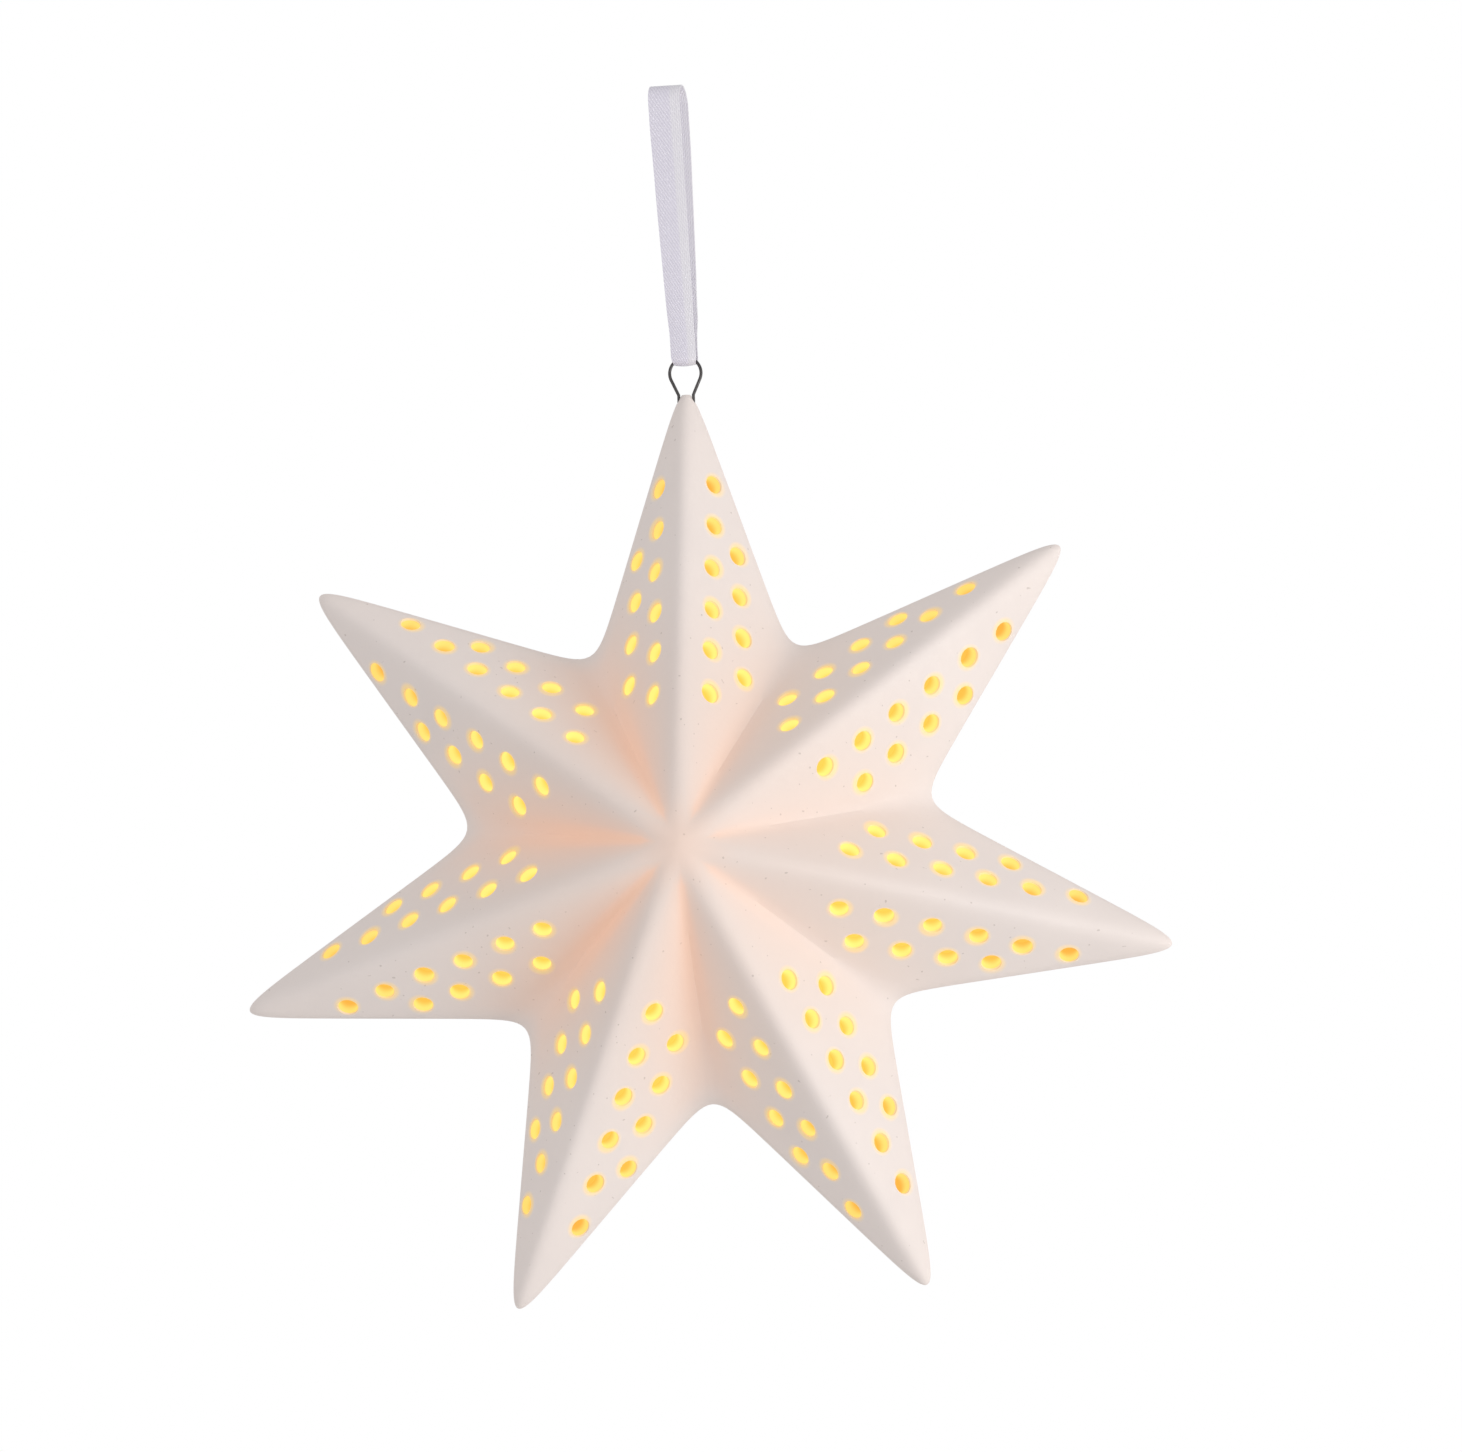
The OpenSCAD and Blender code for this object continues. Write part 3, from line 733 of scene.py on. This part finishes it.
# %% Dark wire
dark_wire = Finish("dark annealed wire", (0.075, 0.07, 0.07), 0.42, Metallic=0.75)
spot, *_ = dark_wire.place()
scale_marks = dark_wire.noise(spot, 1400, 3)
dark_wire.use(Roughness=scale_marks.ramp(0.3, 0.7, 0.3, 0.55))
dark_wire.use(Base_Color=dark_wire.mix(scale_marks, (0.05, 0.048, 0.05), (0.13, 0.12, 0.12)))
print("dark wire made")

# %% Wire eye
WIRE_R = 0.3
EYE_R = 3
EYE_RISE = 4.2
EYE_UP = TOP_TRIM + EYE_RISE
start_angle = math.acos(EYE_R / math.hypot(LEG, EYE_RISE)) - math.atan2(EYE_RISE, LEG)
arc = np.linspace(start_angle, math.pi - start_angle, 40)
wire_line = [(LEG, TOP_TRIM - LEG_DEEP), (LEG, TOP_TRIM)]
wire_line += [(EYE_R * math.cos(a), EYE_UP + EYE_R * math.sin(a)) for a in arc]
wire_line += [(-LEG, TOP_TRIM), (-LEG, TOP_TRIM - LEG_DEEP)]
bend = bpy.data.curves.new("wire_bend", "CURVE")
bend.dimensions = "3D"
bend.bevel_depth = WIRE_R
bend.bevel_resolution = 5
bend.use_fill_caps = True
run = bend.splines.new("POLY")
run.points.add(len(wire_line) - 1)
for point, (across_eye, up_eye) in zip(run.points, wire_line):
    point.co = (across_eye, up_eye, 0, 1)
bend_object = bpy.data.objects.new("wire_bend", bend)
scene.collection.objects.link(bend_object)
bm = bmesh.new()
bm.from_mesh(bpy.data.meshes.new_from_object(
    bend_object.evaluated_get(bpy.context.evaluated_depsgraph_get())
))
bpy.data.objects.remove(bend_object)
bmesh.ops.remove_doubles(bm, verts=bm.verts, dist=0.001)
bmesh.ops.transform(bm, matrix=STAR, verts=bm.verts)
piece("wire_eye", bm, [dark_wire], "star", ["hanger_wire"], 50)

# %% [markdown]
# ## Battery light
# The light is an ordinary flameless tealight: a moulded ivory cup with a top shaped like melted
# wax, and a flame-shaped diffuser over an amber LED. The cup and the flame are round, so both
# are spun. Ivory plastic is slightly waxy, which a little subsurface scatter gives.

# %% Plastics
def plain(name, colour, roughness, grain=0.1, **constants):
    """A moulded or plated finish whose gloss varies a little from place to place."""
    finish = Finish(name, colour, roughness, **constants)
    spot, *_ = finish.place()
    marks = finish.noise(spot, 420, 3)
    darker = tuple(c * 0.95 for c in colour)
    finish.use(Roughness=marks.ramp(0.3, 0.7, roughness - grain, roughness + grain))
    finish.use(Base_Color=finish.mix(marks.ramp(0.45, 0.8), colour, darker))
    return finish


ivory = plain("ivory plastic", (0.85, 0.77, 0.67), 0.38, 0.06, Subsurface_Weight=0.1,
              Subsurface_Scale=0.002)
silicone = plain("clear silicone", (0.78, 0.79, 0.78), 0.32, 0.05, Transmission_Weight=0.35, IOR=1.41)
print("ivory and silicone made")

# %% Flame finish
flame_glow = Finish("flame diffuser", (0.95, 0.72, 0.38), 0.3, Emission_Strength=1.2)
_, _, backward, _ = flame_glow.place()
flame_glow.use(Emission_Color=flame_glow.mix(
    (backward * -1000).ramp(-2, 17), (1.0, 0.78, 0.30), (1.0, 0.42, 0.08)
))
print("flame finish made")

# %% Cup
CUP_R = 18.75
SCREW_OUT = 13.5
SCREW_UP = 8
bm = turned([
    (17.25, 0), (18.35, 0), (18.65, 0.12), (CUP_R, 0.45), (CUP_R, 19.1), (18.55, 19.7),
    (18.1, 20), (17.4, 19.95), (16.7, 19.5), (15.6, 18.8), (13.6, 18.3), (11, 18.08),
    (8.6, 18.05), (7, 18.2), (6.1, 18.7), (5.6, 19.1), (5.42, 18.9), (5.42, 16.5), (17.25, 16.5),
    (17.25, 0),
], 128)
for side in (-1, 1):
    post = turned([
        (0.9, 13), (0.9, 7.6), (2.1, 7.6), (2.1, 16.6), (0.9, 16.6), (0.9, 13)
    ], 24)
    bmesh.ops.translate(post, vec=(side * SCREW_OUT, SCREW_UP, 0), verts=post.verts)
    post_mesh = bpy.data.meshes.new("post")
    post.to_mesh(post_mesh)
    post.free()
    bm.from_mesh(post_mesh)
bmesh.ops.transform(bm, matrix=LIGHT, verts=bm.verts)
piece("light_cup_moulding", bm, [ivory], "light", ["light_cup"], 40)

# %% Flame
FLAME_R = 5.2
FLAME_FOOT = 20
FLAME_HIGH = 18
flame = [
    (FLAME_R * (1 - t) ** 0.6 * (1 + 0.12 * t), FLAME_FOOT + FLAME_HIGH * t)
    for t in np.linspace(0, 1, 28)
]
bm = turned(
    [(3.1, 15.3), (7, 15.3), (7, 16.45), (5.2, 16.45)] + flame
    + [(0, 23.1), (1.6, 22.7), (2.7, 21.6), (3.1, 20), (3.1, 15.3)], 64,
)
bmesh.ops.transform(bm, matrix=LIGHT, verts=bm.verts)
piece("flame_diffuser", bm, [flame_glow], "light", ["flame_lens"], 45)

# %% [markdown]
# ## Parts on the back of the light
# What a hand touches is moulded with soft edges: the base, the coin-slotted battery cover, the
# sliding switch and the silicone ring that grips the opening. These are the CAD shapes with
# their corners rounded, so they fit exactly where the CAD parts fit.

# %% Rounded mouldings
screw_steel = plain("screw steel", (0.56, 0.56, 0.57), 0.28, 0.08, Metallic=1.0)
switch_black = plain("black switch plastic", (0.022, 0.022, 0.024), 0.4)
softened("base_plate", "base_moulding", 0.25, ivory)
softened("battery_cover", "battery_cover_moulding", 0.22, ivory)
softened("grip_ring", "silicone_grip", 0.3, silicone)
softened("base_screws", "pan_screws", 0.12, screw_steel)
softened("switch_knob", "switch_cap", 0.18, switch_black)

# %% [markdown]
# ## Parts inside the light
# The rest is the CAD part as it is, with a truer finish: resin, solder mask, tinned leads,
# nickel, spring brass and moulded nylon. They only show when the light is opened, so their
# finishes stay simple.

# %% Inner finishes
led_resin = plain("amber resin", (0.95, 0.62, 0.2), 0.12, 0.04, Transmission_Weight=0.5)
tinned = plain("tinned metal", (0.72, 0.72, 0.70), 0.3, Metallic=1.0)
board = plain("board green", (0.02, 0.16, 0.07), 0.35)
chip = plain("chip black", (0.03, 0.03, 0.032), 0.5)
tan = plain("resistor tan", (0.62, 0.45, 0.27), 0.45)
nylon = plain("white nylon", (0.80, 0.80, 0.78), 0.42)
nickel = plain("cell nickel", (0.68, 0.67, 0.64), 0.24, 0.08, Metallic=1.0)
brass = plain("spring brass", (0.78, 0.58, 0.28), 0.3, Metallic=1.0)
grey = plain("switch grey", (0.32, 0.33, 0.34), 0.45)
INNER = {
    "led": (led_resin, "led_resin"),
    "led_leads": (tinned, "tinned_metal"),
    "circuit_board": (board, "board_green"),
    "control_chip": (chip, "chip_black"),
    "resistor": (tan, "resistor_tan"),
    "battery_tray": (nylon, "white_plastic"),
    "coin_cell": (nickel, "cell_steel"),
    "contact_positive": (brass, "spring_brass"),
    "contact_negative": (brass, "spring_brass"),
    "switch_body": (grey, "switch_grey"),
    "switch_terminals": (tinned, "tinned_metal"),
    "switch_wiper": (brass, "spring_brass"),
}
for node, (finish, slot) in INNER.items():
    cad_part[node].data.materials.clear()
    cad_part[node].data.materials.append(finish.material)
print("inner parts finished:", len(INNER))

# %% [markdown]
# ## Light and surroundings
# The star hangs in a bright white studio. The air itself gives soft even light, a large key
# lamp to the right and a little low brightens the facets that face it, and a dim cool fill
# keeps the others from going flat. The background is drawn full white whatever the fill is.

# %% Studio
world = bpy.data.worlds.new("white studio")
scene.world = world
world.use_nodes = True
sky = world.node_tree.nodes["Background"]
rays = world.node_tree.nodes.new("ShaderNodeLightPath")
level = world.node_tree.nodes.new("ShaderNodeMapRange")
level.inputs["To Min"].default_value = 0.655
level.inputs["To Max"].default_value = 1.0
world.node_tree.links.new(rays.outputs["Is Camera Ray"], level.inputs["Value"])
world.node_tree.links.new(level.outputs[0], sky.inputs["Strength"])
sky.inputs["Color"].default_value = (1, 1, 1, 1)
print("studio air:", round(level.inputs["To Min"].default_value, 3))

# %% Lamps
def lamp(name, place, power, size, colour):
    """A square lamp of that size in metres, turned to face the star."""
    made = bpy.data.objects.new(name, bpy.data.lights.new(name, "AREA"))
    made.data.energy = power
    made.data.size = size
    made.data.color = colour
    made.location = place
    made.rotation_euler = (STAR.translation - Vector(place)).to_track_quat("-Z", "Y").to_euler()
    scene.collection.objects.link(made)
    print(name, "lamp, watts:", power)


lamp("key", (0.95, -0.55, -0.32), 6.1, 0.5, (1.0, 0.985, 0.96))
lamp("fill", (-0.8, -0.9, 0.15), 1.2, 0.9, (0.96, 0.97, 1.0))

# %% Floor
FLOOR_DROP = 0.45
floor_mesh = bpy.data.meshes.new("studio_floor")
bm = bmesh.new()
bmesh.ops.create_grid(bm, x_segments=1, y_segments=1, size=40)
bmesh.ops.translate(bm, vec=(0, 0, -FLOOR_DROP), verts=bm.verts)
bm.to_mesh(floor_mesh)
bm.free()
pale_floor = Finish("pale floor", (0.84, 0.84, 0.84), 0.8, Emission_Strength=0.03)
pale_floor.use(Emission_Color=(1, 1, 1, 1))
floor_mesh.materials.append(pale_floor.material)
studio_floor = bpy.data.objects.new("studio_floor", floor_mesh)
scene.collection.objects.link(studio_floor)
scene.view_settings.view_transform = "Standard"
scene.view_settings.look = "None"
print("studio lit")
